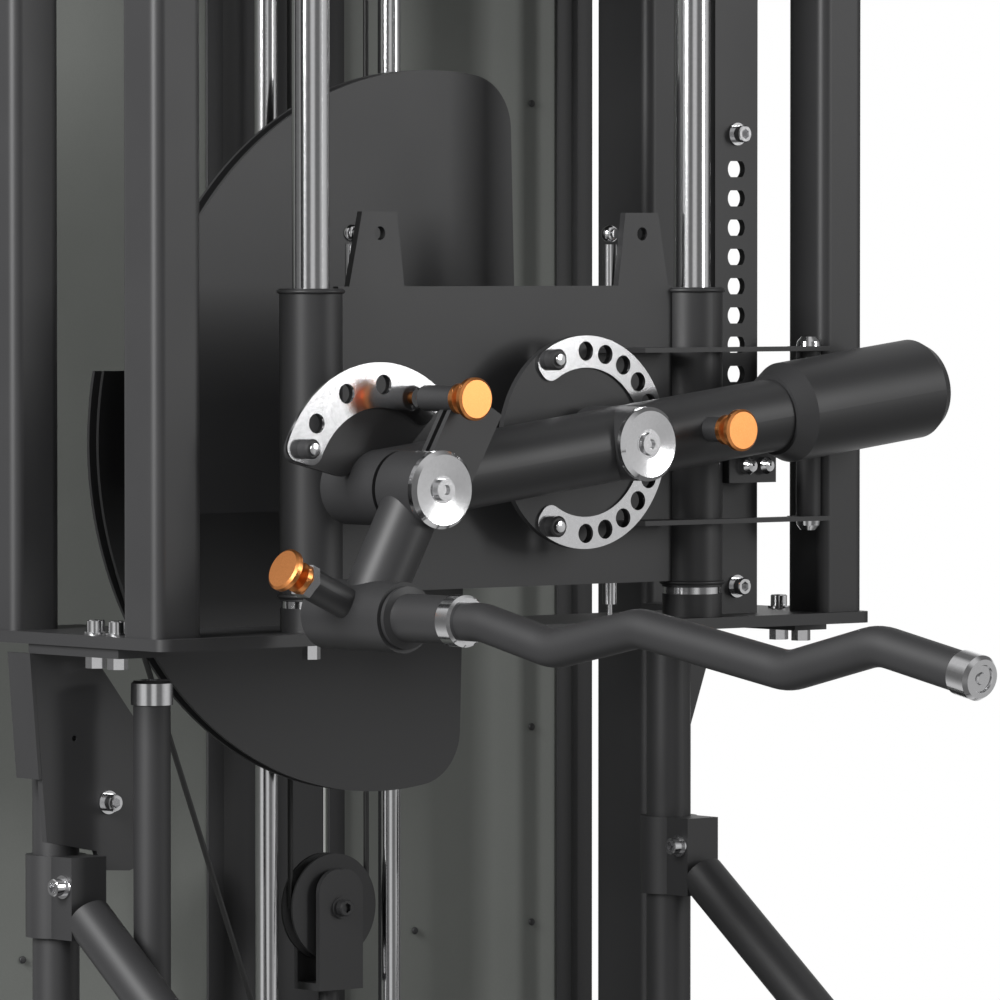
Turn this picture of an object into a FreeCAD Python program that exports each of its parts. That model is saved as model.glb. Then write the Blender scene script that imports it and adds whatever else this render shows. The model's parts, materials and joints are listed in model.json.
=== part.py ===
import FreeCAD, Part
import math
import os
import Sketcher
from FreeCAD import Placement, Rotation, Vector

# Functional trainer, one station: a sliding carriage on two guide rods carries a
# cam pair, an index disc, a counterweighted arm and a folding handle, in front of
# a weight tower. +X points to the user's side, -Y to the front, +Z up, in mm.
# The origin is on the floor, at the centre of the four anchor holes.

doc = FreeCAD.newDocument("FunctionalTrainer")
dims = doc.addObject("Spreadsheet::Sheet", "Dim")

driving = {
    "railWidth": 60, "railWall": 3, "railBottom": 20, "railStart": -450, "railEnd": 1150,
    "railY": 415.5, "anchorX": 420, "anchorRadius": 7,
    "plateTop": 1150, "plateThick": 12, "plateHalfDepth": 477.5, "plateRight": 160, "plateLeft": 155,
    "uprightWidth": 60, "uprightWall": 5, "uprightRound": 12, "uprightX": 118, "uprightY": 445.5,
    "headBottom": 2090, "headThick": 12, "totalTop": 2150,
    "towerWidth": 90, "towerDepth": 50, "towerX": -200, "towerY": 457.5,
    "postRadius": 24, "postX": -100, "braceRadius": 24, "collarRadius": 31, "collarZed": 878,
    "rodRadius": 19, "rodX": 118, "rodY": 256.5, "rodCollarRadius": 31.5, "rodCollarTall": 24,
    "ringTall": 7, "sleeveRadius": 32, "sleeveBore": 19.05, "sleeveBottom": 1181.5, "sleeveTop": 1496,
    "platFront": -224.5, "cheekBack": 114, "cheekThick": 8, "cheekBottom": 1188, "cheekTop": 1498,
    "earTop": 1574, "earHoleRadius": 7,
    "hubY": 64.5, "hubZed": 1337, "shaftRadius": 17.5, "housingRadius": 40,
    "discRadius": 110, "discFace": 170, "discThick": 7, "indexRadius": 94, "indexHoleRadius": 10,
    "camUpperRadius": 390, "camLowerRadius": 380, "camThick": 20, "grooveWidth": 12, "grooveDepth": 10,
    "camUpperX": -84, "camLowerX": -169, "camBelow": 73, "camBehind": 115,
    "beamRadius": 38, "beamX": 222, "beamTilt": 7.1, "pivotReach": 318.4,
    "weightRadius": 52.5, "weightStart": 212, "weightEnd": 468,
    "foreRadius": 30, "foreX": 283, "foreAngle": 28.8, "foreReach": 141,
    "crossRadius": 35, "gripRadius": 19, "handleShaftRadius": 24,
    "stackX": -280, "stackY": 84.5, "stackRodRadius": 12.5, "stackRodGap": 85,
    "stackPlateTall": 25, "stackPlateDeep": 150, "stackPlateWide": 300, "stackTop": 598,
    "floatWheelZed": 827, "floatWheelRadius": 57.5, "cableRadius": 3, "cableOffset": 49,
    "panelX": -400, "panelThick": 3,
    "knobRadius": 21.5, "knobNeck": 8, "knobFlange": 15.5, "pinRadius": 6, "runningGap": 0.3,
}
for row, (alias, amount) in enumerate(driving.items(), 1):
    dims.set("A%d" % row, alias)
    dims.set("B%d" % row, str(amount))
    dims.setAlias("B%d" % row, alias)
doc.recompute()

X_AXIS = Vector(1, 0, 0)
Y_AXIS = Vector(0, 1, 0)
Z_AXIS = Vector(0, 0, 1)
nodes = []


def value(term):
    """The number behind a size, which is a number or an expression on the sheet."""
    if isinstance(term, str):
        return float(dims.evalExpression(term))
    return float(term)


def bind(item, prop, term):
    if isinstance(term, str):
        item.setExpression(prop, term)
    else:
        setattr(item, prop, term)


def locate(item, base, rotation=None):
    """Puts an item at a point whose coordinates may be expressions."""
    item.Placement = Placement(Vector(*[value(term) for term in base]), rotation or Rotation())
    for letter, term in zip("xyz", base):
        if isinstance(term, str):
            item.setExpression("Placement.Base." + letter, term)


def node(item):
    item.Label = item.Name
    nodes.append(item)
    return item


def box(name, size, base):
    item = doc.addObject("Part::Box", name)
    for prop, term in zip(("Length", "Width", "Height"), size):
        bind(item, prop, term)
    locate(item, base)
    return item


def rod(name, radius, length, base, direction=Z_AXIS):
    item = doc.addObject("Part::Cylinder", name)
    bind(item, "Radius", radius)
    bind(item, "Height", length)
    locate(item, base, Rotation(Z_AXIS, direction))
    return item


def fuse(name, items):
    item = doc.addObject("Part::MultiFuse", name)
    item.Shapes = items
    item.Refine = True
    return item


def group(name, items):
    item = doc.addObject("Part::Compound", name)
    item.Links = items
    return item


def cut(name, base, tool):
    item = doc.addObject("Part::Cut", name)
    item.Base = base
    item.Tool = tool
    return item


def sketchOn(body, name, role, offset=0):
    sketch = body.newObject("Sketcher::SketchObject", name)
    plane = [entry for entry in body.Origin.OriginFeatures if entry.Role == role][0]
    sketch.AttachmentSupport = (plane, [""])
    sketch.MapMode = "FlatFace"
    sketch.AttachmentOffset = Placement(Vector(0, 0, value(offset)), Rotation())
    if isinstance(offset, str):
        sketch.setExpression("AttachmentOffset.Base.z", offset)
    return sketch


def drawLoop(sketch, points):
    """A closed loop of lines, each corner dimensioned from the sketch's origin.

    An entry of four numbers is an arc's middle point and its end point."""
    corners = [Vector(value(entry[-2]), value(entry[-1]), 0) for entry in points]
    first = sketch.GeometryCount
    for index, entry in enumerate(points):
        start = corners[index - 1]
        if len(entry) == 4:
            middle = Vector(value(entry[0]), value(entry[1]), 0)
            sketch.addGeometry(Part.Arc(start, middle, corners[index]))
        else:
            sketch.addGeometry(Part.LineSegment(start, corners[index]))
    if any(len(entry) == 4 for entry in points):
        return
    count = len(points)
    for index in range(count):
        following = first + (index + 1) % count
        sketch.addConstraint(Sketcher.Constraint("Coincident", first + index, 2, following, 1))
    for index, entry in enumerate(points):
        for kind, term in zip(("DistanceX", "DistanceY"), entry):
            made = sketch.addConstraint(Sketcher.Constraint(kind, -1, 1, first + index, 2, value(term)))
            if isinstance(term, str):
                sketch.setExpression("Constraints[%d]" % made, term)


def drawHole(sketch, across, up, radius):
    circle = Part.Circle(Vector(value(across), value(up), 0), Z_AXIS, value(radius))
    made = sketch.addGeometry(circle)
    limit = sketch.addConstraint(Sketcher.Constraint("Radius", made, value(radius)))
    if isinstance(radius, str):
        sketch.setExpression("Constraints[%d]" % limit, radius)


def plate(name, role, loops, offset, thickness, holes=(), rounds=(), roundSize=None):
    """A body padded from closed loops and round holes, with chosen corners rounded."""
    body = doc.addObject("PartDesign::Body", name)
    sketch = sketchOn(body, name + "Outline", role, offset)
    for loop in loops:
        drawLoop(sketch, loop)
    for hole in holes:
        drawHole(sketch, *hole)
    pad = body.newObject("PartDesign::Pad", name + "Pad")
    pad.Profile = sketch
    bind(pad, "Length", thickness)
    doc.recompute()
    if rounds:
        normal = pad.Shape.BoundBox
        picked = []
        for number, edge in enumerate(pad.Shape.Edges, 1):
            if len(edge.Vertexes) != 2 or not isinstance(edge.Curve, Part.Line):
                continue
            ends = [vertex.Point for vertex in edge.Vertexes]
            flat = [{"XY_Plane": (p.x, p.y), "YZ_Plane": (p.y, p.z), "XZ_Plane": (p.x, p.z)}[role] for p in ends]
            if math.dist(*flat) > 0.01:
                continue
            for corner in rounds:
                if math.dist(flat[0], [value(term) for term in corner]) < 0.5:
                    picked.append("Edge%d" % number)
        fillet = body.newObject("PartDesign::Fillet", name + "Rounding")
        fillet.Base = (pad, picked)
        bind(fillet, "Radius", roundSize)
        doc.recompute()
    return body


def turned(name, profile, base, direction):
    """A body revolved about its axis from (radius, distance along the axis) points."""
    body = doc.addObject("PartDesign::Body", name)
    sketch = sketchOn(body, name + "Profile", "XY_Plane")
    drawLoop(sketch, profile)
    turn = body.newObject("PartDesign::Revolution", name + "Turn")
    turn.Profile = sketch
    turn.ReferenceAxis = (sketch, ["V_Axis"])
    turn.Angle = 360
    locate(body, base, Rotation(Y_AXIS, direction))
    return body


def fixed(name, shape):
    item = doc.addObject("Part::Feature", name)
    item.Shape = shape
    item.Placement = Placement()
    return item


def socketBolt(name, base, direction, washer=12, head=9, tall=12):
    """A socket head cap screw with its washer, standing on a surface."""
    lift = 2.5
    body = turned(name + "Head", [(0, 0), (washer, 0), (washer, lift), (head, lift), (head, lift + tall - 1),
                                  (head - 1, lift + tall), (0, lift + tall)], base, direction)
    socket = doc.addObject("Part::Prism", name + "Socket")
    socket.Polygon = 6
    socket.Circumradius = head * 0.6
    socket.Height = tall
    start = [value(term) for term in base]
    away = Vector(direction).normalize() * (lift + tall / 2)
    socket.Placement = Placement(Vector(*start) + away, Rotation(Z_AXIS, direction))
    return cut(name, body, socket)


def hexNut(name, base, direction, across=9.5, tall=10):
    nut = doc.addObject("Part::Prism", name)
    nut.Polygon = 6
    nut.Circumradius = across
    nut.Height = tall
    nut.Placement = Placement(Vector(*[value(term) for term in base]), Rotation(Z_AXIS, direction))
    return nut


def aroundHub(radius, degrees, across=0):
    """A point at an angle from +Y towards +Z about the hub axis."""
    turn = math.radians(degrees)
    return (across, value("Dim.hubY") + radius * math.cos(turn), value("Dim.hubZed") + radius * math.sin(turn))


# ---- Floor frame: two long tubes joined by two cross tubes, on rubber pads ----
railPieces = []
for side, sign in (("Front", -1), ("Rear", 1)):
    low = "%d * Dim.railY - Dim.railWidth / 2" % sign
    outer = box("rail" + side + "Outer", ("Dim.railEnd - Dim.railStart", "Dim.railWidth", "Dim.railWidth"),
                ("Dim.railStart", low, "Dim.railBottom"))
    inner = box("rail" + side + "Inner", ("Dim.railEnd - Dim.railStart", "Dim.railWidth - 2 * Dim.railWall",
                                          "Dim.railWidth - 2 * Dim.railWall"),
                ("Dim.railStart", low + " + Dim.railWall", "Dim.railBottom + Dim.railWall"))
    bores = [rod("anchorBore" + side + str(end), "Dim.anchorRadius", 80,
                 ("%d * Dim.anchorX" % end, "%d * Dim.railY" % sign, 10)) for end in (-1, 1)]
    hollow = cut("rail" + side + "Hollow", outer, inner)
    railPieces.append(cut("rail" + side, hollow, fuse("anchorBores" + side, bores)))
crossLength = "2 * Dim.railY - Dim.railWidth"
for label, start in (("Back", -400), ("Mid", -190)):
    outer = box("cross" + label + "Outer", ("Dim.railWidth", crossLength, "Dim.railWidth"),
                (start, "-Dim.railY + Dim.railWidth / 2", "Dim.railBottom"))
    inner = box("cross" + label + "Inner", ("Dim.railWidth - 2 * Dim.railWall", crossLength,
                                            "Dim.railWidth - 2 * Dim.railWall"),
                (start + 3, "-Dim.railY + Dim.railWidth / 2", "Dim.railBottom + Dim.railWall"))
    railPieces.append(cut("cross" + label, outer, inner))
node(group("floor_rails", railPieces))

padPieces = []
for sign in (-1, 1):
    for label, middle in (("Back", "-Dim.anchorX"), ("Mid", "Dim.anchorX"), ("Tip", "Dim.railEnd - 60")):
        name = "pad" + label + ("Front" if sign < 0 else "Rear")
        block = box(name + "Block", (100, "Dim.railWidth", "Dim.railBottom"),
                    (middle + " - 50", "%d * Dim.railY - Dim.railWidth / 2" % sign, 0))
        if label == "Tip":
            padPieces.append(block)
            continue
        bore = rod(name + "Bore", "Dim.anchorRadius", 30, (middle, "%d * Dim.railY" % sign, -5))
        padPieces.append(cut(name, block, bore))
plugSide = "Dim.railWidth - 2 * Dim.railWall"
for sign in (-1, 1):
    for label, start in (("Tip", "Dim.railEnd - 20"), ("Tail", "Dim.railStart")):
        padPieces.append(box("plug" + label + ("Front" if sign < 0 else "Rear"), (20, plugSide, plugSide),
                             (start, "%d * Dim.railY - Dim.railWidth / 2 + Dim.railWall" % sign,
                              "Dim.railBottom + Dim.railWall")))
node(group("rubber_feet", padPieces))

# ---- Main plate in two halves that meet at X = 0, spliced from below ----
halfDepth = "Dim.plateHalfDepth"
plateBase = "Dim.plateTop - Dim.plateThick"
rightLoop = [(0, "-" + halfDepth), ("Dim.plateRight", "-" + halfDepth), ("Dim.plateRight", halfDepth), (0, halfDepth)]
node(plate("main_plate_right", "XY_Plane", [rightLoop], plateBase, "Dim.plateThick",
           rounds=[("Dim.plateRight", "-" + halfDepth), ("Dim.plateRight", halfDepth)], roundSize=14))
node(plate("main_plate_left", "XY_Plane",
           [[(0, "-" + halfDepth), (0, -345), ("-Dim.plateLeft", -345), ("-Dim.plateLeft", "-" + halfDepth)]],
           plateBase, "Dim.plateThick", rounds=[("-Dim.plateLeft", "-" + halfDepth)], roundSize=14))
node(plate("main_plate_rear_left", "XY_Plane",
           [[(0, halfDepth), (0, 412), (-140, 412), (-140, halfDepth)]],
           plateBase, "Dim.plateThick"))
spliceFront = box("spliceFront", (150, 60, 10), (-68, -473, plateBase + " - 10"))
spliceRear = box("spliceRear", (150, 46, 10), (-60, 428, plateBase + " - 10"))
gusset = plate("postGusset", "YZ_Plane", [[(439.5, 1006), (439.5, 1127.9), (474, 1127.9), (474, 1100)]], -104, 8)
node(group("plate_splices", [spliceFront, spliceRear, gusset]))
doc.recompute()

# ---- Uprights between the main plate and the head plate ----
def squareTube(name, wide, deep, wall, middle, bottom, top):
    halfWide = "%s / 2" % wide
    halfDeep = "%s / 2" % deep
    outer = [(-1, -1), (1, -1), (1, 1), (-1, 1)]
    loops = []
    for inset in ("0", wall):
        loops.append([("%d * (%s - %s) + (%s)" % (across, halfWide, inset, middle[0]),
                       "%d * (%s - %s) + (%s)" % (along, halfDeep, inset, middle[1])) for across, along in outer])
    return plate(name, "XY_Plane", loops, bottom, "%s - (%s)" % (top, bottom), rounds=loops[0],
                 roundSize="Dim.uprightRound")


uprightPieces = []
for label, across, along in (("FrontRight", 1, -1), ("RearRight", 1, 1), ("FrontLeft", -1, -1)):
    middle = ("%d * Dim.uprightX" % across, "%d * Dim.uprightY" % along)
    uprightPieces.append(squareTube("upright" + label, "Dim.uprightWidth", "Dim.uprightWidth", "Dim.uprightWall",
                                    middle, "Dim.plateTop", "Dim.headBottom"))
node(group("uprights", uprightPieces))
node(squareTube("tower_upright", "Dim.towerWidth", "Dim.towerDepth", "Dim.uprightWall",
                ("Dim.towerX", "Dim.towerY"), "Dim.railBottom + Dim.railWidth + 10", "Dim.headBottom"))
headLoop = [(-440, -500), ("Dim.plateRight", -500), ("Dim.plateRight", 540), (-440, 540)]
node(plate("head_plate", "XY_Plane", [headLoop], "Dim.headBottom", "Dim.headThick",
           rounds=[("Dim.plateRight", -500), ("Dim.plateRight", 540)], roundSize=14))
capRim = box("capRim", (600, 1040, "Dim.totalTop - Dim.headBottom - Dim.headThick"), (-440, -500, "Dim.headBottom + Dim.headThick"))
capHollow = box("capHollow", (590, 1030, 60), (-435, -495, "Dim.headBottom + Dim.headThick"))
node(cut("head_rim", capRim, capHollow))
towerFoot = box("tower_foot", (110, 100, 10), (-255, 385.6, "Dim.railBottom + Dim.railWidth"))
node(cut("tower_base_plate", towerFoot, rod("footHole", 6, 30, (-245, 395, 70))))

# ---- Round posts, braces and their clamps, from the floor rails to the plate ----
posts = []
braces = []
collars = []
frameBolts = []
for label, sign in (("Front", -1), ("Rear", 1)):
    along = "%d * Dim.railY" % sign
    posts.append(rod("post" + label, "Dim.postRadius", plateBase + " - 10 - Dim.railBottom - Dim.railWidth",
                     ("Dim.postX", along, "Dim.railBottom + Dim.railWidth")))
    clampOuter = rod("clamp%sOuter" % label, "Dim.collarRadius", 84, ("Dim.postX", along, "Dim.collarZed - 42"))
    ear = box("clamp%sEar" % label, (46, 44, 84), ("Dim.postX + 10", along + " - 22", "Dim.collarZed - 42"))
    clampSolid = fuse("clamp%sSolid" % label, [clampOuter, ear])
    bore = rod("clamp%sBore" % label, "Dim.postRadius", 100, ("Dim.postX", along, "Dim.collarZed - 50"))
    collars.append(cut("clamp" + label, clampSolid, bore))
    top = Vector(value("Dim.postX") + 56, sign * value("Dim.railY"), value("Dim.collarZed") - 20)
    foot = Vector(1020, sign * value("Dim.railY"), 60)
    slope = foot - top
    wholeBrace = rod("brace%sRaw" % label, "Dim.braceRadius", slope.Length, (top.x, along, top.z), slope)
    trimBox = box("brace%sTrim" % label, (300, 120, 200), (850, along + " - 60", "Dim.railBottom + Dim.railWidth - 200"))
    trimEar = box("brace%sTrimEar" % label, (60, 120, 200), (top.x - 60, along + " - 60", "Dim.collarZed - 120"))
    braces.append(cut("brace" + label, wholeBrace, fuse("brace%sTrims" % label, [trimBox, trimEar])))
    frameBolts.append(socketBolt("clampBolt" + label, ("Dim.postX + 43", sign * value("Dim.railY") - 22,
                                                       value("Dim.collarZed") + 12), -Y_AXIS))
node(group("round_posts", posts))
node(group("round_braces", braces))
node(group("post_clamps", collars))

# ---- Guide rods with their collars and bumper rings ----
guideRods = []
baseCollars = []
for label, sign in (("Front", -1), ("Rear", 1)):
    along = "%d * Dim.rodY" % sign
    shaft = rod("guide" + label, "Dim.rodRadius", "Dim.headBottom - Dim.plateTop", ("Dim.rodX", along, "Dim.plateTop"))
    ring = rod("bumper" + label, "Dim.rodCollarRadius - 1.5", "Dim.ringTall",
               ("Dim.rodX", along, "Dim.plateTop + Dim.rodCollarTall"))
    guideRods.append(fuse("guideSet" + label, [shaft, ring]))
    outer = rod("collar%sOuter" % label, "Dim.rodCollarRadius", "Dim.rodCollarTall", ("Dim.rodX", along, "Dim.plateTop"))
    inner = rod("collar%sInner" % label, "Dim.rodRadius", 60, ("Dim.rodX", along, "Dim.plateTop - 10"))
    baseCollars.append(cut("collar" + label, outer, inner))
node(group("guide_rods", guideRods))
node(group("rod_collars", baseCollars))

# ---- Hole plate: slotted holes set the height of the carriage ----
holePitch = 31
slotTop = 1621
slotCount = 10
slots = []
for index in range(slotCount):
    level = slotTop - holePitch * index
    slots.append([(-8 + 331, level - 8.5), (323 - 4, level, 323, level + 8.5), (339, level + 8.5),
                  (343, level, 339, level - 8.5)])
holeLoop = [(301, "Dim.plateTop"), (361, "Dim.plateTop"), (361, "Dim.headBottom"), (301, "Dim.headBottom")]
holeBody = doc.addObject("PartDesign::Body", "holePlateBody")
holeSketch = sketchOn(holeBody, "holePlateOutline", "YZ_Plane", 96)
drawLoop(holeSketch, holeLoop)
for slot in slots:
    drawLoop(holeSketch, slot)
holePad = holeBody.newObject("PartDesign::Pad", "holePlatePad")
holePad.Profile = holeSketch
holePad.Length = 8
node(group("hole_plate", [holeBody]))
doc.recompute()

# ---- Screws of the frame ----
frameBolts += [socketBolt("holeBoltTop", (104, 331, 1658), X_AXIS), socketBolt("holeBoltLow", (104, 331, 1179), X_AXIS)]
for index, (across, along) in enumerate(((21, -455), (57, -455), (38, 452), (70, 455))):
    frameBolts.append(socketBolt("spliceBolt%d" % index, (across, along, "Dim.plateTop"), Z_AXIS))
    frameBolts.append(hexNut("spliceNut%d" % index, (across, along, value("Dim.plateTop") - 22 - 12), Z_AXIS, 10.5, 12))
frameBolts += [hexNut("rodNut" + str(sign), (118, sign * 256.5, 1122), Z_AXIS, 9.5, 16) for sign in (-1, 1)]
frameBolts.append(socketBolt("bracketBolt", (-62, -378, 973), X_AXIS))
node(group("frame_bolts", frameBolts))

# ---- Hanging bracket with a small guide roller, under the front of the plate ----
bracketLoop = [(-472, 1128), (-399, 1128), (-330, 1040), (-315.6, 1000), (-315.6, 915), (-350, 902),
               (-385, 904), (-392, 924), (-455, 936)]
bracketPlate = plate("bracketPlate", "YZ_Plane", [bracketLoop], -70, 8, holes=[(-420, 1040, 3)])
bracketFlange = plate("bracketFlange", "YZ_Plane",
                      [[(-476, 1128), (-472.05, 1128), (-461, 1000), (-465, 1000)]], -100, 38)
node(group("pulley_bracket", [bracketPlate, bracketFlange]))
node(turned("guide_roller", [(0, 0), (11, 0), (8, 3), (8, 5), (11, 8), (0, 8)], (-78.5, -378, 973), X_AXIS))

# ---- Front grip: a capped vertical handle on a bracket from the front post ----
gripX = 0
gripY = -368.5
node(rod("front_grip", 19, 410, (gripX, gripY, 665)))
node(turned("front_grip_cap", [(0, 0), (21.5, 0), (21.5, 22), (19, 25), (8, 25), (8, 23), (0, 23)],
            (gripX, gripY, 1075), Z_AXIS))
gripArm = box("gripArm", (98, 30, 12), (-76.2, -400, 653))
gripFoot = rod("gripFoot", 24, 12, (gripX, gripY, 653))
gripHub = rod("gripHub", 30, 40, ("Dim.postX", "-Dim.railY", 640))
gripBracket = fuse("gripBracketSolid", [gripArm, gripFoot, gripHub])
node(cut("grip_bracket", gripBracket, rod("gripBore", "Dim.postRadius", 80, ("Dim.postX", "-Dim.railY", 620))))
doc.recompute()

# ---- Weight tower: back panels, centre post, guide rods and resting plates ----
panelLow = 90
panelTall = "Dim.headBottom - 90"
node(box("back_panel_front", ("Dim.panelThick", 530, panelTall), ("Dim.panelX", -497.5, panelLow)))
rearSheet = box("rearSheet", ("Dim.panelThick", 361, panelTall), ("Dim.panelX", 174.5, panelLow))
rearFlange = box("rearFlange", (18, "Dim.panelThick", panelTall), ("Dim.panelX", 532.5, panelLow))
node(fuse("back_panel_rear", [rearSheet, rearFlange]))
node(box("centre_post", (40, 141, panelTall), (-440, 33, panelLow)))
stackRods = []
for sign in (-1, 1):
    stackRods.append(rod("stackRod" + ("Front" if sign < 0 else "Rear"), "Dim.stackRodRadius", 1810,
                         ("Dim.stackX", "Dim.stackY + %d * Dim.stackRodGap" % sign, 90)))
node(group("stack_rods", stackRods))
node(box("stack_base", (290, 340, 10), (-425, -85.5, "Dim.railBottom + Dim.railWidth")))


def weightPlate(name, bottom):
    slab = box(name + "Slab", ("Dim.stackPlateDeep", "Dim.stackPlateWide", "Dim.stackPlateTall - 0.5"),
               ("Dim.stackX - Dim.stackPlateDeep / 2", "Dim.stackY - Dim.stackPlateWide / 2", bottom))
    bores = [rod(name + "Bore" + str(sign), "Dim.stackRodRadius + 0.5", 40,
                 ("Dim.stackX", "Dim.stackY + %d * Dim.stackRodGap" % sign, bottom - 5)) for sign in (-1, 1)]
    return cut(name, slab, fuse(name + "Bores", bores))


stackCount = 20
liftedCount = 6
stackBottom = 98
levels = [stackBottom + 25 * index for index in range(stackCount)]
cushions = [rod("cushion%d" % sign, 20, 8, (-280, 84.5 + 120 * sign, 90)) for sign in (-1, 1)]
node(group("stack_cushions", cushions))
node(group("resting_plates", [weightPlate("resting%d" % index, levels[index])
                              for index in range(stackCount - liftedCount)]))
liftedPlates = [weightPlate("lifted%d" % index, levels[index]) for index in range(stackCount - liftedCount, stackCount)]
pinBore = rod("selectorBore", 4.3, 120, (-300, "Dim.stackY", levels[-liftedCount] + 12), X_AXIS)
liftedPlates[0] = cut("liftedPinned", liftedPlates[0], pinBore)
node(group("lifted_plates", liftedPlates))
stackTopLevel = stackBottom + 25 * stackCount
forkLow = 738
stem = rod("stackStem", 11, forkLow - stackTopLevel + 0.5, ("Dim.stackX", "Dim.stackY", stackTopLevel - 0.5))
forkFloor = box("forkFloor", (44, 60, 8), ("Dim.stackX - 22", "Dim.stackY - 30", forkLow))
cheeks = []
for label, start in (("Near", 16), ("Far", -22)):
    cheeks.append(plate("forkCheek" + label, "YZ_Plane",
                        [[(54.5, 746), (54.5, 840), (69.5, 866, 84.5, 868), (99.5, 866, 114.5, 840), (114.5, 746)]],
                        value("Dim.stackX") + start, 6))
forkAxle = rod("forkAxle", 6, 44, ("Dim.stackX - 22", "Dim.stackY", "Dim.floatWheelZed"), X_AXIS)
forkBolt = socketBolt("forkBolt", (-258, 84.5, 827), X_AXIS, washer=12, head=9, tall=8)
node(fuse("stack_fork", [stem, forkFloor] + cheeks + [forkAxle]))
node(group("fork_bolt", [forkBolt]))


def wheel(name, radius, bore, base):
    half = 10
    return turned(name, [(bore, -half), (radius, -half), (radius, -half + 3), (radius - 9, -2), (radius - 9, 2),
                         (radius, half - 3), (radius, half), (bore, half)], base, X_AXIS)


node(wheel("floating_wheel", 57.5, 6.05, ("Dim.stackX", "Dim.stackY", "Dim.floatWheelZed")))
runStart = value("Dim.floatWheelZed")
node(group("stack_cables", [rod("run%d" % sign, "Dim.cableRadius", 2010 - runStart,
                                ("Dim.stackX", "Dim.stackY + %d * 52.5" % sign, runStart)) for sign in (-1, 1)]))
topWheelZed = 2010
headForks = []
for label, sign in (("front", -1), ("rear", 1)):
    centre = 84.5 + sign * (52.5 + 45)
    node(wheel("head_wheel_" + label, 51, 6.05, ("Dim.stackX", centre, topWheelZed)))
    headForks.append(box("headFork" + label, (6, 30, 95), (-262, centre - 15, topWheelZed - 15)))
    headForks.append(box("headForkBack" + label, (6, 30, 95), (-304, centre - 15, topWheelZed - 15)))
    headForks.append(rod("headAxle" + label, 6, 44, (-302, centre, topWheelZed), X_AXIS))
    headForks.append(box("rodYoke" + label, (135, 40, 12), (-397, 84.5 + sign * 85 - 20, 1900)))
node(fuse("head_forks", headForks))
node(turned("selector_pin", [(0, 0), (4, 0), (4, 100), (14, 100), (14, 112), (0, 112)],
            ("Dim.stackX + Dim.stackPlateDeep / 2 - 92", "Dim.stackY", levels[-liftedCount] + 12), X_AXIS))
doc.recompute()

# ---- Carriage: sleeves, cheek plate with ears, bearing housing and lift handle ----
hub = (0, value("Dim.hubY"), value("Dim.hubZed"))
sleeves = []
for sign in (-1, 1):
    name = "sleeve" + ("Front" if sign < 0 else "Rear")
    tall = "Dim.sleeveTop - Dim.sleeveBottom"
    base = ("Dim.rodX", "%d * Dim.rodY" % sign, "Dim.sleeveBottom")
    sleeves.append(cut(name, rod(name + "Outer", "Dim.sleeveRadius", tall, base),
                       rod(name + "Bore", "Dim.sleeveBore", "400", ("Dim.rodX", "%d * Dim.rodY" % sign, 1150))))
node(group("rod_sleeves", sleeves))
cheekLoop = [(-224.4, "Dim.cheekBottom"), (224.4, "Dim.cheekBottom"), (224.4, "Dim.cheekTop"),
             (219, "Dim.cheekTop"), (205, "Dim.earTop"), (160, "Dim.earTop"), (150, "Dim.cheekTop"),
             (-138, "Dim.cheekTop"), (-148, "Dim.earTop"), (-193, "Dim.earTop"), (-210, "Dim.cheekTop"),
             (-224.4, "Dim.cheekTop")]
node(plate("cheek_plate", "YZ_Plane", [cheekLoop], "Dim.cheekBack", "Dim.cheekThick",
           holes=[(183, 1552, "Dim.earHoleRadius"), (-170, 1552, "Dim.earHoleRadius"),
                  ("Dim.hubY", "Dim.hubZed", "Dim.shaftRadius + 0.3")]))
housing = rod("housingOuter", "Dim.housingRadius", 170, (-56.2, hub[1], hub[2]), X_AXIS)
node(cut("bearing_housing", housing, rod("housingBore", "Dim.shaftRadius + 0.05", 200, (-70, hub[1], hub[2]), X_AXIS)))
struts = []
strutRods = []
for along in (-192, 153.7):
    name = "strut" + ("Front" if along < 0 else "Rear")
    barrel = rod(name + "Barrel", 7, 376, (104, along, 1165))
    ball = doc.addObject("Part::Sphere", name + "Ball")
    ball.Radius = 9
    locate(ball, (104, along, 1552))
    stud = rod(name + "Stud", 5, 10, (104, along, 1552), X_AXIS)
    struts.append(cut(name, fuse(name + "Solid", [barrel, ball, stud]), rod(name + "Bore", 3.4, 378, (104, along, 1160))))
    strutRods.append(rod(name + "Rod", 3, 385, (104, along, "Dim.plateTop")))
node(group("strut_tubes", struts))
node(group("strut_rods", strutRods))
liftPlates = []
for label, level in (("Top", 1428.5), ("Low", 1248.5)):
    liftPlates.append(plate("liftPlate" + label, "XY_Plane",
                            [[(122, 110), (140, 110), (165, 150), (165, 410), (136, 410), (136, 375), (152, 375),
                              (152, 216), (122, 212)]], level, 5))
node(group("lift_plates", liftPlates))
node(rod("lift_grip", 13, 1428.5 - 1253.5, (150, 392.5, 1253.5)))
domes = [turned("liftDomeTop", [(0, 0), (13, 0), (12, 5), (8, 10), (0, 12)], (150, 392.5, 1433.5), Z_AXIS),
         turned("liftDomeLow", [(0, 0), (13, 0), (12, 5), (8, 10), (0, 12)], (150, 392.5, 1248.5), -Z_AXIS)]
node(group("lift_domes", domes))
lockBlock = box("lockBlock", (40, 66, 36), (106, 284, 1290))
node(cut("lock_block", lockBlock, rod("lockClear", "Dim.sleeveRadius", 80, ("Dim.rodX", "Dim.rodY", 1270))))
lockNuts = [turned("lockNut%d" % index, [(0, 0), (9, 0), (9, 8), (6, 13), (0, 14)], (146, along, 1308), X_AXIS)
            for index, along in enumerate((306, 330))]
node(group("lock_nuts", lockNuts))

# ---- Cam body: one shaft with two opposed cams and the index disc ----
node(rod("cam_shaft", "Dim.shaftRadius", 355, (-190, hub[1], hub[2]), X_AXIS))


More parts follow.
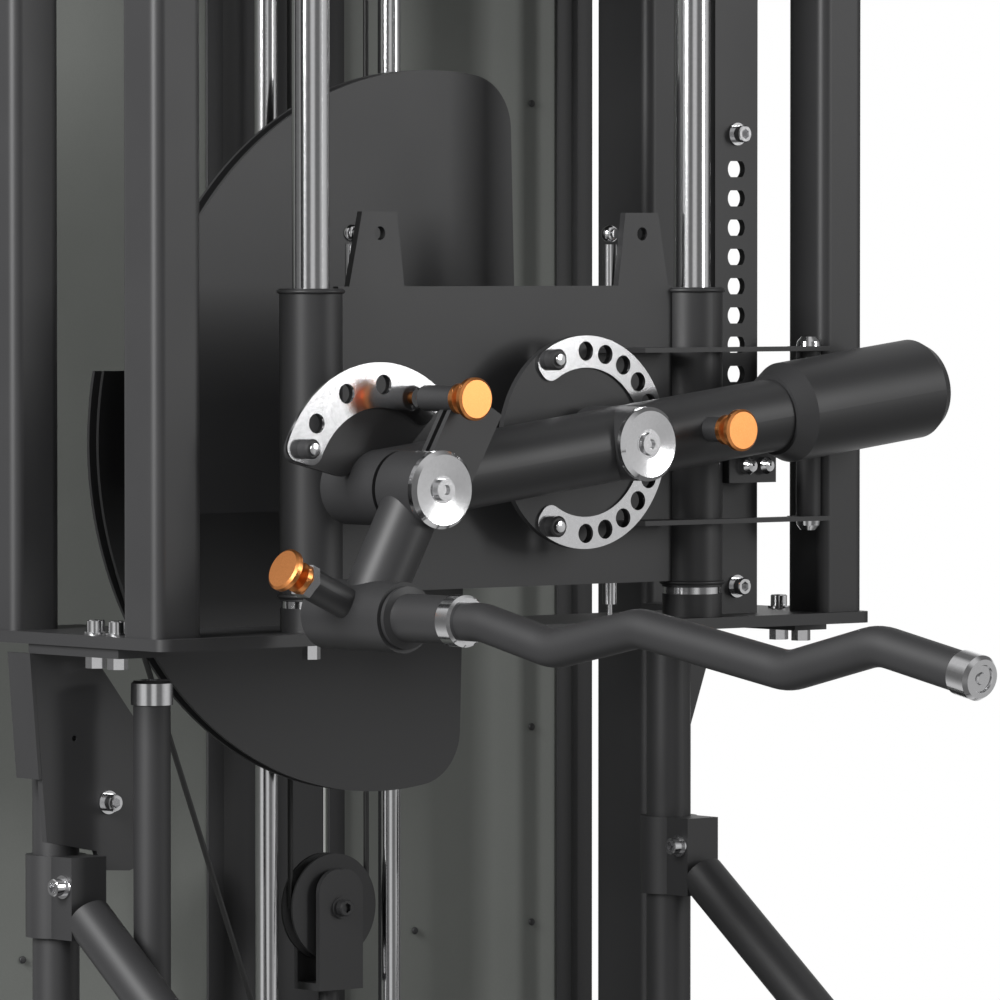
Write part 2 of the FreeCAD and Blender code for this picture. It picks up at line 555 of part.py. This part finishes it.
def cam(name, radius, planeX, upward):
    reach = value(radius)
    below = value("Dim.camBelow")
    behind = value("Dim.camBehind")
    rise = math.sqrt(reach ** 2 - behind ** 2)
    run = math.sqrt(reach ** 2 - below ** 2)
    loop = [(hub[1] + behind, hub[2] - upward * below), (hub[1] + behind - 12, hub[2] + upward * rise),
            (hub[1] - reach * 0.66, hub[2] + upward * reach * math.sqrt(1 - 0.66 ** 2),
             hub[1] - run, hub[2] - upward * below)]
    body = plate(name + "Blank", "YZ_Plane", [loop], planeX + " - Dim.camThick / 2", "Dim.camThick",
                 holes=[("Dim.hubY", "Dim.hubZed", "Dim.shaftRadius")],
                 rounds=[loop[0], loop[1]], roundSize=58)
    outer = rod(name + "RingOuter", radius + " + 20", "Dim.grooveWidth",
                (planeX + " - Dim.grooveWidth / 2", hub[1], hub[2]), X_AXIS)
    inner = rod(name + "RingInner", radius + " - Dim.grooveDepth", 60, (planeX + " - 30", hub[1], hub[2]), X_AXIS)
    return cut(name, body, cut(name + "Ring", outer, inner))


node(cam("cam_upper", "Dim.camUpperRadius", "Dim.camUpperX", 1))
node(cam("cam_lower", "Dim.camLowerRadius", "Dim.camLowerX", -1))
holePitchAngle = 16.4
discHoles = [aroundHub(94, holePitchAngle * (index - 5.5))[1:] + ("Dim.indexHoleRadius",) for index in range(12)]
discBack = "Dim.discFace - Dim.discThick - 3"
discDisk = rod("discDisk", "Dim.discRadius", "Dim.discThick", (discBack, hub[1], hub[2]), X_AXIS)
discBoss = rod("discBoss", 30, 30, (136, hub[1], hub[2]), X_AXIS)
discCuts = [rod("discHole%d" % index, "Dim.indexHoleRadius", 60, (130, entry[0], entry[1]), X_AXIS)
            for index, entry in enumerate(discHoles)]
discCuts.append(rod("discShaftBore", "Dim.shaftRadius", 60, (120, hub[1], hub[2]), X_AXIS))
node(cut("index_disc", fuse("discSolid", [discDisk, discBoss]), fuse("discTools", discCuts)))


def arcBand(name, centre, inner, outer, first, last, holes, holeRadius, start, thick):
    """A flat band about X with rounded ends and round holes."""
    def at(radius, degrees):
        turn = math.radians(degrees)
        return (centre[0] + radius * math.cos(turn), centre[1] + radius * math.sin(turn))
    middle = (first + last) / 2
    loop = [at(outer, first), at(outer, middle) + at(outer, last), at(inner, last), at(inner, middle) + at(inner, first)]
    return plate(name, "YZ_Plane", [loop], start, thick, holes=[at(*entry) + (holeRadius,) for entry in holes],
                 rounds=[at(outer, first), at(outer, last), at(inner, last), at(inner, first)], roundSize=14)


node(arcBand("index_arc", (hub[1], hub[2]), 77, 110, -130, 130,
             [(94, holePitchAngle * (index - 5.5)) for index in range(12)], 10, 167, 3))
stops = [turned("indexStop%d" % index, [(0, 0), (11, 0), (11, 9.5), (9, 11), (5, 11), (5, 8), (0, 8)],
                aroundHub(97, sign * 118, 170), X_AXIS) for index, sign in enumerate((-1, 1))]
node(group("index_stops", stops))

# ---- Arm: tilted beam with hub sleeve, front sleeve, sector and counterweight ----
tilt = math.radians(value("Dim.beamTilt"))
beamWay = Vector(0, math.cos(tilt), math.sin(tilt))
hubPoint = Vector(value("Dim.beamX"), hub[1], hub[2])
pivot = hubPoint - beamWay * value("Dim.pivotReach")


def onBeam(distance, across=222):
    point = hubPoint + beamWay * distance
    return (across, point.y, point.z)


beamTube = rod("beamTube", "Dim.beamRadius", value("Dim.pivotReach") + 211, tuple(pivot), beamWay)
hubSleeve = rod("hubSleeve", 38, 81, (182, hub[1], hub[2]), X_AXIS)
frontSleeve = rod("frontSleeve", 38, 82, (174, pivot.y, pivot.z), X_AXIS)
pinOne = aroundHub(94, 8.2)
barrelOne = rod("barrelOne", 13, 60, (222, pinOne[1], pinOne[2]), X_AXIS)
beamTools = [rod("hubBore", "Dim.shaftRadius + 0.05", 90, (175, hub[1], hub[2]), X_AXIS),
             rod("pinOneBore", 6.3, 160, (160, pinOne[1], pinOne[2]), X_AXIS),
             rod("frontShaftBore", 15.05, 60, (210, pivot.y, pivot.z), X_AXIS)]
node(cut("arm_beam", fuse("beamSolid", [beamTube, hubSleeve, frontSleeve, barrelOne]), fuse("beamTools", beamTools)))
node(turned("counterweight", [(0, 0), (42, 0), (52.5, 20), (52.5, 203), (46, 215), (30, 219), (0, 219)],
            onBeam(212), beamWay))
node(turned("hub_cap", [(17.5, 0), (38, 0), (38, 5), (34, 8), (15, 6), (12, 6), (11, 10), (5, 10), (5, 7), (0, 7),
                        (0, 2.1), (17.5, 2.1)], (263, hub[1], hub[2]), X_AXIS))


def atPivot(radius, degrees, across):
    turn = math.radians(degrees)
    return (across, pivot.y + radius * math.cos(turn), pivot.z + radius * math.sin(turn))


sectorHoles = [(103, 59.8 + 27 * index) for index in range(4)]
sector = []
for name, inner, outer, start, thick, arcs in (("sector_back", 38, 122, 212, 6, (44, 166)),
                                               ("sector_band", 80, 125, 218, 3, (45, 165))):
    node(arcBand(name, (pivot.y, pivot.z), inner, outer, arcs[0], arcs[1], sectorHoles, 10, start, thick))
node(turned("sector_stop", [(0, 0), (10, 0), (10, 12), (8, 14), (4, 14), (4, 11), (0, 11)],
            atPivot(103, 157, 221), X_AXIS))
doc.recompute()

# ---- Forearm: turning sleeve, tube, cross tube and the pin bracket ----
drop = math.radians(value("Dim.foreAngle"))
foreWay = Vector(0, -math.sin(drop), -math.cos(drop))
crossPoint = Vector(283, pivot.y, pivot.z) + foreWay * value("Dim.foreReach")
turnSleeve = rod("turnSleeve", 38, 52.2, (261, pivot.y, pivot.z), X_AXIS)
foreShaft = rod("foreShaft", 15, 50, (212, pivot.y, pivot.z), X_AXIS)
foreTube = cut("foreTube", rod("foreTubeRaw", "Dim.foreRadius", "Dim.foreReach", (283, pivot.y, pivot.z), foreWay),
               rod("foreTubeRelief", 80, 60.6, (200, pivot.y, pivot.z), X_AXIS))
crossTube = rod("crossTube", "Dim.crossRadius", 120, (224, crossPoint.y, crossPoint.z), X_AXIS)
pinTwo = atPivot(103, 59.8, 0)
wayTwo = Vector(0, math.cos(math.radians(59.8)), math.sin(math.radians(59.8)))
bracketTwo = []
for label, start in (("Near", 273), ("Far", 261)):
    blade = box("blade" + label, (6, 60, 118), (0, -30, 0))
    blade.Placement = Placement(Vector(start, pivot.y, pivot.z), Rotation(X_AXIS, 59.8 - 90))
    bracketTwo.append(blade)
barrelTwo = rod("barrelTwo", 13, 52, (232, pinTwo[1], pinTwo[2]), X_AXIS)
wayThree = Vector(0, -math.cos(math.radians(24.7)), math.sin(math.radians(24.7)))
baseThree = Vector(287, crossPoint.y, crossPoint.z)
barrelThree = rod("barrelThree", 16, 82, tuple(baseThree), wayThree)
nutThree = baseThree + wayThree * 82
crossBore = [rod("crossBore", 24.05, 140, (240, crossPoint.y, crossPoint.z), X_AXIS),
             rod("pinTwoBore", 6.3, 90, (220, pinTwo[1], pinTwo[2]), X_AXIS),
             rod("pinThreeBore", 6.3, 120, tuple(baseThree), wayThree)]
node(cut("forearm", fuse("forearmSolid", [turnSleeve, foreShaft, foreTube, crossTube, barrelTwo, barrelThree] + bracketTwo),
         fuse("forearmTools", crossBore)))
node(turned("front_cap", [(0, 0), (39, 0), (39, 6), (35, 10), (14, 8), (11, 8), (11, 13), (5, 13), (5, 10), (0, 10)],
            (313.3, pivot.y, pivot.z), X_AXIS))
nutSolid = hexNut("pinNutSolid", tuple(nutThree), wayThree, 18, 9)
node(cut("pin_nut", nutSolid, rod("pinNutBore", 6.3, 40, tuple(nutThree - wayThree * 5), wayThree)))


def popPin(name, base, direction, tip, gap):
    """A pull knob on a pin: the base is the face it rests against, the pin runs back from it."""
    return turned(name, [(0, -tip), (5, -tip), ("Dim.pinRadius", -tip + 3), ("Dim.pinRadius", gap), (15.5, gap),
                         (15.5, gap + 6), (8, gap + 10), (8, gap + 17), (21.5, gap + 20), (21.5, gap + 25),
                         (19, gap + 27), (0, gap + 27)], base, direction)


node(popPin("pin_beam", (282, pinOne[1], pinOne[2]), X_AXIS, 111.5, 0.3))
node(popPin("pin_sector", (284, pinTwo[1], pinTwo[2]), X_AXIS, 62.5, 0.3))
node(popPin("pin_cross", tuple(nutThree + wayThree * 9), wayThree, 66.5, 0.3))

# ---- Handle: shaft in the cross tube, collar, bent grip and end cap ----
def bentPath(points, bend):
    """Straight runs joined by tangent arcs."""
    edges = []
    last = points[0]
    for before, corner, after in zip(points, points[1:], points[2:]):
        inward = (before - corner).normalize()
        outward = (after - corner).normalize()
        half = inward.getAngle(outward) / 2
        trim = bend / math.tan(half)
        start = corner + inward * trim
        end = corner + outward * trim
        centre = corner + (inward + outward).normalize() * (bend / math.sin(half))
        middle = centre + (corner - centre).normalize() * bend
        edges.append(Part.LineSegment(last, start).toShape())
        edges.append(Part.Arc(start, middle, end).toShape())
        last = end
    edges.append(Part.LineSegment(last, points[-1]).toShape())
    return Part.Wire(edges)


gripPoints = [Vector(across, crossPoint.y, level) for across, level in
              ((441, 1173.9), (465, 1173.9), (571, 1152), (695, 1177.5), (905, 1145), (1027, 1174.5), (1137, 1153.8))]
gripPath = bentPath(gripPoints, 70)
ringEdge = Part.makeCircle(value("Dim.gripRadius"), gripPoints[0], X_AXIS)
handleGrip = fixed("handle_grip", gripPath.makePipeShell([Part.Wire([ringEdge])], True, False))
node(handleGrip)
node(turned("handle_shaft", [(0, 0), (24, 0), (24, 101.5), (31, 101.5), (31, 106), (24, 108), (24, 175), (0, 175)],
            (243, crossPoint.y, crossPoint.z), X_AXIS))
node(turned("handle_collar", [(0, 0), (24, 0), (25.5, 3), (25.5, 20), (23, 23), (0, 23)],
            (418, crossPoint.y, crossPoint.z), X_AXIS))
endWay = (gripPoints[-1] - gripPoints[-2]).normalize()
node(turned("handle_cap", [(0, 0), (21, 0), (21, 22), (18, 26), (13, 26), (12, 24), (6, 24), (5, 26), (0, 26)],
            tuple(gripPoints[-1] + endWay * 0.02), endWay))
camCableTop = Vector(value("Dim.camLowerX"), hub[1] - 373.5 * math.cos(math.radians(21)),
                     hub[2] - 373.5 * math.sin(math.radians(21)))
cableWay = Vector(0, math.sin(math.radians(21)), -math.cos(math.radians(21)))
node(rod("cam_cable", "Dim.cableRadius", 1000, tuple(camCableTop), cableWay))
doc.recompute()

# ---- Pieces welded or bolted into one unit share a file ----
units = {
    "main_plate_rear": ["main_plate_left", "main_plate_rear_left"],
    "head_frame": ["head_plate", "head_rim"],
    "tower_bases": ["tower_base_plate", "stack_base"],
    "back_panels": ["back_panel_front", "back_panel_rear"],
    "clamps": ["post_clamps", "rod_collars", "grip_bracket"],
    "hanging_bracket": ["pulley_bracket", "guide_roller"],
    "rubber_pads": ["rubber_feet", "stack_cushions"],
    "floating_fork": ["stack_fork", "fork_bolt"],
    "head_wheels": ["head_wheel_front", "head_wheel_rear"],
    "chrome_rods": ["guide_rods", "strut_rods"],
    "carriage_chrome": ["lift_domes", "lock_nuts", "strut_tubes"],
    "lift_frame": ["lift_plates", "lock_block"],
    "forearm_chrome": ["front_cap", "pin_nut"],
}
for title, members in units.items():
    pieces = [item for item in nodes if item.Name in members]
    nodes = [item for item in nodes if item.Name not in members]
    node(group(title, pieces))
doc.recompute()

# ---- Checks, then one file for each piece ----
failed = [item.Name for item in doc.Objects if "Invalid" in item.State or "Error" in item.State]
failed += [item.Name for item in nodes if item.Shape.isNull() or not item.Shape.isValid()]
if failed:
    raise SystemExit("failed objects: " + ", ".join(failed))
if not 0 < len(nodes) <= 60:
    raise SystemExit("node count: %d" % len(nodes))
os.makedirs("parts", exist_ok=True)
for item in nodes:
    item.Shape.exportStep(os.path.join("parts", item.Label + ".step"))
print(len(nodes), "nodes written")
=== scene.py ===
import json
import math

import bpy
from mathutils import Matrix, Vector


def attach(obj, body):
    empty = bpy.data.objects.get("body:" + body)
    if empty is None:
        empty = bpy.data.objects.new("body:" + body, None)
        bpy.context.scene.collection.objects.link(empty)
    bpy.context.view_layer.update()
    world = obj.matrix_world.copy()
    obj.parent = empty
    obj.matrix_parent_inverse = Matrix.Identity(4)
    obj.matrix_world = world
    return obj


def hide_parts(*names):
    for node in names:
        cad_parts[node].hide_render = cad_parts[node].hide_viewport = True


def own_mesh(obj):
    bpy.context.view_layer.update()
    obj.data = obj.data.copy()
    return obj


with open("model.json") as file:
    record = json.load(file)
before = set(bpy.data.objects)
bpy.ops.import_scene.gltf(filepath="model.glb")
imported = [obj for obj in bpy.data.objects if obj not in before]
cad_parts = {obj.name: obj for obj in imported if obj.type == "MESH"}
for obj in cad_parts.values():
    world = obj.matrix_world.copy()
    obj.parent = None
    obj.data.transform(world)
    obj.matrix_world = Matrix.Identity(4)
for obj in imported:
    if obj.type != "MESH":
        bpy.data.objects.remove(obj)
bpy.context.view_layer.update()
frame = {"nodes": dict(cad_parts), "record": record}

# Functional trainer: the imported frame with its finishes, cables and trim.
nodes = frame["nodes"]
print("stage: frame loaded", len(nodes))


class Wire:
    # A node socket that adds and multiplies like a number.
    def __init__(self, graph, socket):
        self.graph = graph
        self.socket = socket

    def combine(self, other, operation):
        return self.graph.make("ShaderNodeMath", {0: self, 1: other}, operation=operation)

    def __add__(self, other):
        return self.combine(other, "ADD")

    def __mul__(self, other):
        return self.combine(other, "MULTIPLY")


class Graph:
    # The node tree of one material, or of the world.
    def __init__(self, name, backdrop=None):
        if backdrop:
            self.tree = backdrop.node_tree
            return
        self.material = bpy.data.materials.new(name)
        self.material.use_nodes = True
        self.tree = self.material.node_tree
        self.shader = self.tree.nodes["Principled BSDF"]

    def make(self, kind, inputs, output=0, **settings):
        item = self.tree.nodes.new(kind)
        for key, setting in settings.items():
            setattr(item, key, setting)
        for key, entry in inputs.items():
            self.feed(item.inputs[key], entry)
        return Wire(self, item.outputs[output])

    def feed(self, socket, entry):
        if isinstance(entry, Wire):
            self.tree.links.new(entry.socket, socket)
        else:
            socket.default_value = entry

    def place(self):
        return self.make("ShaderNodeTexCoord", {}, "Object")

    def noise(self, scale, detail=3):
        inputs = {"Vector": self.place(), "Scale": scale, "Detail": detail}
        return self.make("ShaderNodeTexNoise", inputs, "Fac")

    def blendColours(self, amount, first, second):
        return self.make("ShaderNodeMix", {0: amount, 6: first, 7: second}, 2, data_type="RGBA")

    def bump(self, height, strength, distance):
        return self.make("ShaderNodeBump", {"Height": height, "Strength": strength, "Distance": distance})

    def principled(self, **entries):
        for key, entry in entries.items():
            self.feed(self.shader.inputs[key.replace("_", " ")], entry)
        return self.material


def coated(name, dark, light, rough, grain, depth):
    graph = Graph(name)
    coarse = graph.noise(9)
    fine = graph.noise(grain, 2)
    colour = graph.blendColours(coarse * 0.6 + fine * 0.3, dark, light)
    return graph.principled(Base_Color=colour, Roughness=coarse * 0.08 + rough, Metallic=0.0,
                            Normal=graph.bump(fine, 0.12, depth))


def metal(name, colour, bright, rough, grain=300):
    graph = Graph(name)
    fine = graph.noise(grain, 2)
    shade = graph.blendColours(fine, colour, bright)
    return graph.principled(Base_Color=shade, Roughness=fine * 0.06 + rough, Metallic=1.0,
                            Normal=graph.bump(fine, 0.03, 0.0002))


finishes = {
    "powder_coat": coated("powderCoat", (0.019, 0.019, 0.02, 1), (0.029, 0.029, 0.03, 1), 0.42, 900, 0.0003),
    "panel_grey": coated("panelGrey", (0.15, 0.158, 0.146, 1), (0.195, 0.204, 0.19, 1), 0.62, 420, 0.0006),
    "chrome": metal("chrome", (0.66, 0.66, 0.67, 1), (0.74, 0.74, 0.75, 1), 0.1),
    "anodised_orange": metal("anodisedOrange", (0.72, 0.26, 0.075, 1), (0.9, 0.37, 0.13, 1), 0.27, 700),
    "grip_black": coated("gripBlack", (0.014, 0.014, 0.015, 1), (0.022, 0.022, 0.023, 1), 0.5, 1200, 0.0002),
    "rubber": coated("rubberPad", (0.012, 0.012, 0.012, 1), (0.02, 0.02, 0.02, 1), 0.8, 500, 0.0005),
    "weight_black": coated("weightBlack", (0.012, 0.012, 0.013, 1), (0.026, 0.026, 0.027, 1),
                           0.55, 260, 0.0006),
    "cable_black": coated("cableBlack", (0.01, 0.01, 0.01, 1), (0.016, 0.016, 0.016, 1), 0.4, 800, 0.0002),
    "wheel_black": coated("wheelBlack", (0.014, 0.014, 0.015, 1), (0.02, 0.02, 0.021, 1), 0.45, 600, 0.0002),
}
sharpness = {"frame": math.radians(32), "trim": math.radians(40)}
slots = {entry["node"]: entry["material_slot"] for entry in frame["record"]["subparts"]}
for name, item in nodes.items():
    finish = finishes[slots[name]]
    if not item.material_slots:
        item.data.materials.append(finish)
    for holder in item.material_slots:
        holder.material = finish
    item.data.shade_smooth()
    item.data.set_sharp_from_angle(angle=sharpness["frame"])
print("stage: finishes set")


def finished(item, name, body, slot):
    item.name = name
    bpy.ops.object.select_all(action="DESELECT")
    item.select_set(True)
    bpy.context.view_layer.objects.active = item
    bpy.ops.object.transform_apply(location=True, rotation=True, scale=True)
    item.data.materials.clear()
    item.data.materials.append(finishes[slot])
    item.data.shade_smooth()
    item.data.set_sharp_from_angle(angle=sharpness["trim"])
    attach(item, body)
    return item


def bevelled(item, width, segments=3):
    modifier = item.modifiers.new("softEdge", "BEVEL")
    modifier.width = width
    modifier.segments = segments
    modifier.limit_method = "ANGLE"
    bpy.context.view_layer.objects.active = item
    bpy.ops.object.modifier_apply(modifier=modifier.name)


def turnTo(item, direction):
    item.rotation_mode = "QUATERNION"
    item.rotation_quaternion = Vector((0, 0, 1)).rotation_difference(Vector(direction))


def roundBar(name, radius, start, end, body, slot, softEdge=0.0, sides=48):
    bpy.ops.object.select_all(action="DESELECT")
    span = Vector(end) - Vector(start)
    bpy.ops.mesh.primitive_cylinder_add(vertices=sides, radius=radius, depth=span.length,
                                        location=(Vector(start) + Vector(end)) / 2)
    item = bpy.context.object
    turnTo(item, span)
    if softEdge:
        bevelled(item, softEdge)
    return finished(item, name, body, slot)


def flatBar(name, low, high, body, slot, softEdge=0.0):
    bpy.ops.object.select_all(action="DESELECT")
    bpy.ops.mesh.primitive_cube_add(size=1, location=(Vector(low) + Vector(high)) / 2)
    item = bpy.context.object
    item.scale = Vector(high) - Vector(low)
    bpy.ops.object.transform_apply(location=False, rotation=False, scale=True)
    if softEdge:
        bevelled(item, softEdge, 2)
    return finished(item, name, body, slot)


# Edge strips with a rough black finish on both panels and small rivets down the panels.
panel = {"front": -0.397, "strip": 0.022, "proud": 0.004, "low": 0.095, "high": 2.085}
stripPlaces = (("frontInner", 0.008), ("rearInner", 0.1765), ("rearOuter", 0.506))
for label, along in stripPlaces:
    flatBar("panelStrip" + label, (panel["front"] + 0.0003, along, panel["low"]),
            (panel["front"] + panel["proud"], along + panel["strip"], panel["high"]),
            "frame", "weight_black", 0.001)
rivets = {"radius": 0.004, "tall": 0.003, "levels": (0.45, 0.78, 1.0, 1.34, 1.7, 1.95)}
for column, along in enumerate((-0.24, 0.3, 0.47)):
    for row, level in enumerate(rivets["levels"]):
        roundBar("rivet%d_%d" % (column, row), rivets["radius"], (panel["front"] + 0.0002, along, level),
                 (panel["front"] + rivets["tall"], along, level), "frame", "powder_coat", 0.001, 20)
print("stage: panel trim")

# A rolled lip at each end of both sleeves.
sleeve = {"inner": 0.0325, "thick": 0.0022}
for label, along in (("Front", -0.2565), ("Rear", 0.2565)):
    for end, level in (("Low", 1.186), ("Top", 1.493)):
        bpy.ops.object.select_all(action="DESELECT")
        bpy.ops.mesh.primitive_torus_add(major_radius=sleeve["inner"], minor_radius=sleeve["thick"],
                                         major_segments=64, minor_segments=12, location=(0.118, along, level))
        finished(bpy.context.object, "sleeveRing" + label + end, "carriage", "powder_coat")

# A dark strip is painted shade: it fills the gap between the rear panel and the tower's upright, where only
# shade falls.
gapShade = {"low": (-0.345, 0.486, 0.095), "high": (-0.335, 0.508, 2.085)}
flatBar("gapShadeFiller", gapShade["low"], gapShade["high"], "frame", "weight_black", 0.001)

# Chrome screw heads sit in the stop posts of the index disc and of the front sector.
hub = Vector((0, 0.0645, 1.337))
tilt = math.radians(7.1)
pivot = hub - Vector((0, math.cos(tilt), math.sin(tilt))) * 0.3184
screw = {"radius": 0.0062, "tall": 0.0032}
for label, centre, reach, degrees, face, body in (("Upper", hub, 0.097, 118, 0.181, "cam"),
                                                  ("Lower", hub, 0.097, -118, 0.181, "cam"),
                                                  ("Sector", pivot, 0.103, 157, 0.235, "arm")):
    turn = math.radians(degrees)
    spot = centre + Vector((0, math.cos(turn), math.sin(turn))) * reach
    roundBar("stopScrew" + label, screw["radius"], (face - 0.001, spot.y, spot.z),
             (face + screw["tall"], spot.y, spot.z), body, "chrome", 0.0008, 32)
print("stage: rings")

# Two straight stack cables run up towards the head wheels and replace the imported ones, each with its own
# mesh.
cable = {"radius": 0.003, "across": -0.28, "low": 0.827, "high": 2.01,
         "lift": 0.232, "span": 1.183, "sides": 16}
for label, along in (("Front", 0.032), ("Rear", 0.137)):
    low = (cable["across"], along, cable["low"])
    high = (cable["across"], along, cable["high"])
    run = roundBar("stackCable" + label, cable["radius"], low, high, "frame", "cable_black",
                   sides=cable["sides"])
    if label == "Front":
        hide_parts("stack_cables")
    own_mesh(run)
print("stage: cables")

# ---- Camera, light and backdrop ----
camera = bpy.data.objects.new("viewCamera", bpy.data.cameras.new("viewCamera"))
bpy.context.scene.collection.objects.link(camera)
camera.location = (6.032, -4.972, 1.5257)
pitch = math.radians(1.84)
sight = Vector((-0.766 * math.cos(pitch), 0.643 * math.cos(pitch), -math.sin(pitch)))
camera.rotation_mode = "QUATERNION"
camera.rotation_quaternion = sight.to_track_quat("-Z", "Y")
camera.data.lens = 270
camera.data.sensor_width = 36
camera.data.clip_end = 100
bpy.context.scene.camera = camera

world = bpy.data.worlds.new("studio")
bpy.context.scene.world = world
world.use_nodes = True
# White behind the machine, dimmer elsewhere with two dark bands, so that the chrome has something to mirror.
sky = Graph("studio", world)
way = sky.make("ShaderNodeSeparateXYZ", {"Vector": sky.make("ShaderNodeTexCoord", {}, "Generated")}, "X")
across = Wire(sky, way.socket.node.outputs["X"])
along = Wire(sky, way.socket.node.outputs["Y"])
ahead = across * -0.766 + along * 0.643
side = across * 0.643 + along * 0.766
behind = sky.make("ShaderNodeMapRange", {"Value": ahead, 1: 0.86, 2: 0.95, 3: 0.0, 4: 1.0})
bands = sky.make("ShaderNodeMath", {0: side * 7.0}, operation="SINE")
level = sky.make("ShaderNodeMapRange", {"Value": bands, 1: -0.6, 2: 0.7, 3: 0.16, 4: 0.62})
grey = sky.make("ShaderNodeCombineColor", {0: level, 1: level, 2: level})
sky.feed(world.node_tree.nodes["Background"].inputs["Color"], sky.blendColours(behind, grey, (1, 1, 1, 1)))


def softLight(name, place, target, size, power):
    data = bpy.data.lights.new(name, "AREA")
    data.shape = "RECTANGLE"
    data.size, data.size_y = size
    data.energy = power
    lamp = bpy.data.objects.new(name, data)
    lamp.location = place
    lamp.rotation_mode = "QUATERNION"
    lamp.rotation_quaternion = (Vector(target) - Vector(place)).to_track_quat("-Z", "Y")
    bpy.context.scene.collection.objects.link(lamp)


softLight("keyLight", (0.6, -4.2, 3.2), (0, 0, 1.2), (1.6, 2.6), 330)
softLight("rimLight", (3.8, 2.6, 2.6), (0, 0.2, 1.2), (0.8, 2.4), 60)

scene = bpy.context.scene
scene.render.engine = "CYCLES"
scene.cycles.samples = 96
scene.render.resolution_x = 1000
scene.render.resolution_y = 1000
scene.view_settings.view_transform = "Standard"
scene.view_settings.look = "None"
print("stage: camera and light")
